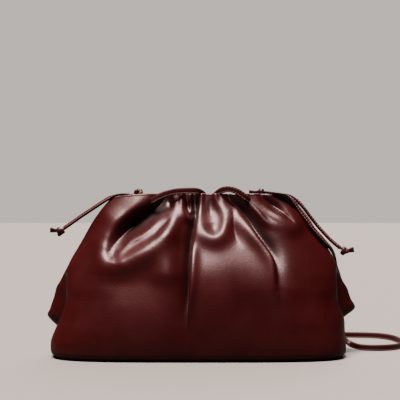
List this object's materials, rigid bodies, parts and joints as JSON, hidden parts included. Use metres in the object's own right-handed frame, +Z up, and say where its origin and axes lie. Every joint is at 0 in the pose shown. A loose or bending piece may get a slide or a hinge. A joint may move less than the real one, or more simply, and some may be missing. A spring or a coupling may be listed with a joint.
{
  "type": "drawstring pouch bag",
  "caption": "Soft gathered leather pouch bag with an open drawstring mouth, a flat base, a woven flat drawstring with knotted ends and a long flat shoulder strap.",
  "frame": {"origin": "on the floor under the middle of the pouch", "axes": "+X to the pouch's right end as seen from the front, +Z up, the front faces -Y"},
  "size_m": [0.3477, 0.1856, 0.1596],
  "materials": {
    "pouch_leather": "smooth burgundy nappa leather with a very fine grain and a soft gloss",
    "lace_leather": "darker burgundy leather strip with painted edges and a line of stitches"
  },
  "bodies": {
    "root": {"pouch_body": "pouch_leather", "drawstring_weave": "lace_leather", "drawstring_end_left": "lace_leather", "drawstring_end_right": "lace_leather", "drawstring_knot_left": "lace_leather", "drawstring_knot_right": "lace_leather", "shoulder_strap": "lace_leather", "strap_knot_left": "lace_leather", "strap_knot_right": "lace_leather"}
  },
  "joints": []
}
